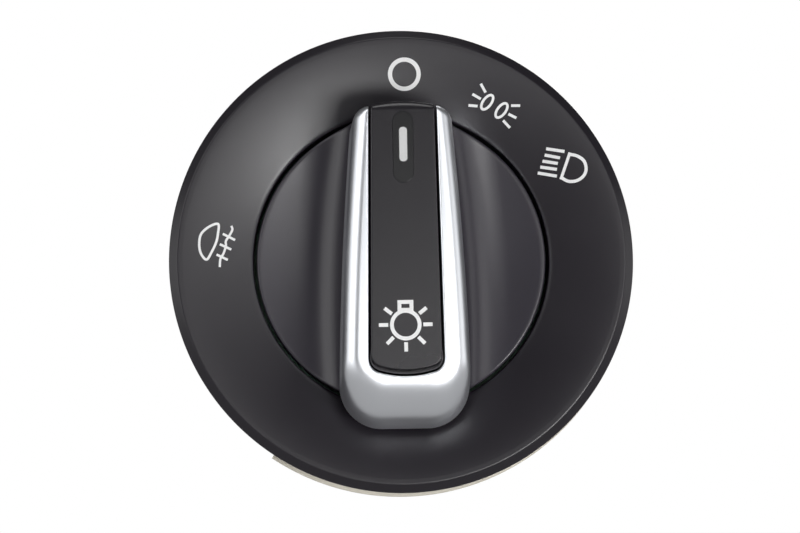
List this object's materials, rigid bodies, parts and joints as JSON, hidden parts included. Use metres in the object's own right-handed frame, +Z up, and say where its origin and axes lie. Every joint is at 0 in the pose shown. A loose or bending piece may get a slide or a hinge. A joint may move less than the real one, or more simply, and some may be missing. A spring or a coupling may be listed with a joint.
{
  "type": "headlight switch",
  "caption": "Round dashboard rotary light switch with a dished bezel, a scooped pull-and-turn knob, a satin grip trim and a snap-in housing with a rear connector.",
  "frame": {"origin": "on the knob's turning axis, in the plane where the flange seats on the panel", "axes": "+Y into the panel along the turning axis, +Z up, +X to the right as the driver sees it; the face looks along -Y"},
  "size_m": [0.071, 0.0665, 0.0709],
  "materials": {
    "bezel_black": "fine satin grain",
    "knob_black": "fine satin grain",
    "insert_black": "fine satin grain",
    "trim_silver": "satin plated",
    "window_smoke": "smoked, half gloss",
    "carrier_cream": "moulded",
    "diffuser_milky": "milky",
    "pipe_clear": "clear moulding",
    "board_green": "solder resist",
    "chip_amber": "phosphor",
    "housing_black": "moulded",
    "guide_grey": "moulded",
    "pawl_grey": "moulded",
    "cam_white": "moulded",
    "rotor_white": "moulded",
    "slider_white": "moulded",
    "base_brown": "moulded",
    "spring_steel": "drawn",
    "copper": "stamped copper alloy",
    "pin_tin": "tin plated"
  },
  "bodies": {
    "housing": {"housing": "housing_black", "bezel": "bezel_black", "diffuser": "diffuser_milky", "light_carrier": "carrier_cream", "led_board": "board_green", "symbol_led_off": "chip_amber", "symbol_led_side": "chip_amber", "symbol_led_low": "chip_amber", "symbol_led_fog": "chip_amber", "knob_led_upper": "chip_amber", "knob_led_lower": "chip_amber", "guide_plate": "guide_grey", "cam_spring": "spring_steel", "detent_spring": "spring_steel", "terminal_base": "base_brown", "contact_track_common": "copper", "contact_track_side": "copper", "contact_track_low": "copper", "fog_track": "copper", "rear_cover": "housing_black", "terminal_pin_1": "pin_tin", "terminal_pin_2": "pin_tin", "terminal_pin_3": "pin_tin", "terminal_pin_4": "pin_tin", "terminal_pin_5": "pin_tin", "terminal_pin_6": "pin_tin", "terminal_pin_7": "pin_tin", "terminal_pin_8": "pin_tin", "terminal_pin_9": "pin_tin", "terminal_pin_10": "pin_tin"},
    "rotor": {"rotor": "rotor_white", "contact_bridge_1": "copper", "contact_bridge_2": "copper", "return_spring": "spring_steel"},
    "knob": {"knob_body": "knob_black", "grip_trim": "trim_silver", "grip_insert": "insert_black", "indicator_lens": "window_smoke", "light_pipe": "pipe_clear"},
    "release_cam": {"release_cam": "cam_white"},
    "pawl_left": {"pawl_left": "pawl_grey"},
    "pawl_right": {"pawl_right": "pawl_grey"},
    "fog_slider": {"fog_slider": "slider_white", "fog_contact": "copper"}
  },
  "joints": [
    {"name": "knob_turn", "type": "hinge", "parent": "housing", "child": "rotor", "pos_m": [0, 0, 0], "axis": [0, 1, 0], "range_deg": [0, 60], "deforming": ["detent_spring"]},
    {"name": "knob_pull", "type": "slide", "parent": "rotor", "child": "knob", "axis": [0, -1, 0], "range_m": [-0.0022, 0.004], "deforming": ["return_spring"]},
    {"name": "fog_slide", "type": "slide", "parent": "housing", "child": "fog_slider", "axis": [0, -1, 0], "range_m": [-0.0022, 0.004]},
    {"name": "release_turn", "type": "hinge", "parent": "housing", "child": "release_cam", "pos_m": [0, 0.0076, 0], "axis": [0, 1, 0], "range_deg": [0, 30], "stiffness_Nm_per_rad": 0.02, "springref_deg": -11.46, "deforming": ["cam_spring"]},
    {"name": "pawl_right_slide", "type": "slide", "parent": "housing", "child": "pawl_right", "axis": [-1, 0, 0], "range_m": [0, 0.003]},
    {"name": "pawl_left_slide", "type": "slide", "parent": "housing", "child": "pawl_left", "axis": [1, 0, 0], "range_m": [0, 0.003]}
  ],
  "couplings": [
    {"joint": "fog_slide", "follows": "knob_pull", "ratio": 1},
    {"joint": "pawl_right_slide", "follows": "release_turn", "m_per_rad": 0.0057296},
    {"joint": "pawl_left_slide", "follows": "release_turn", "m_per_rad": 0.0057296}
  ]
}
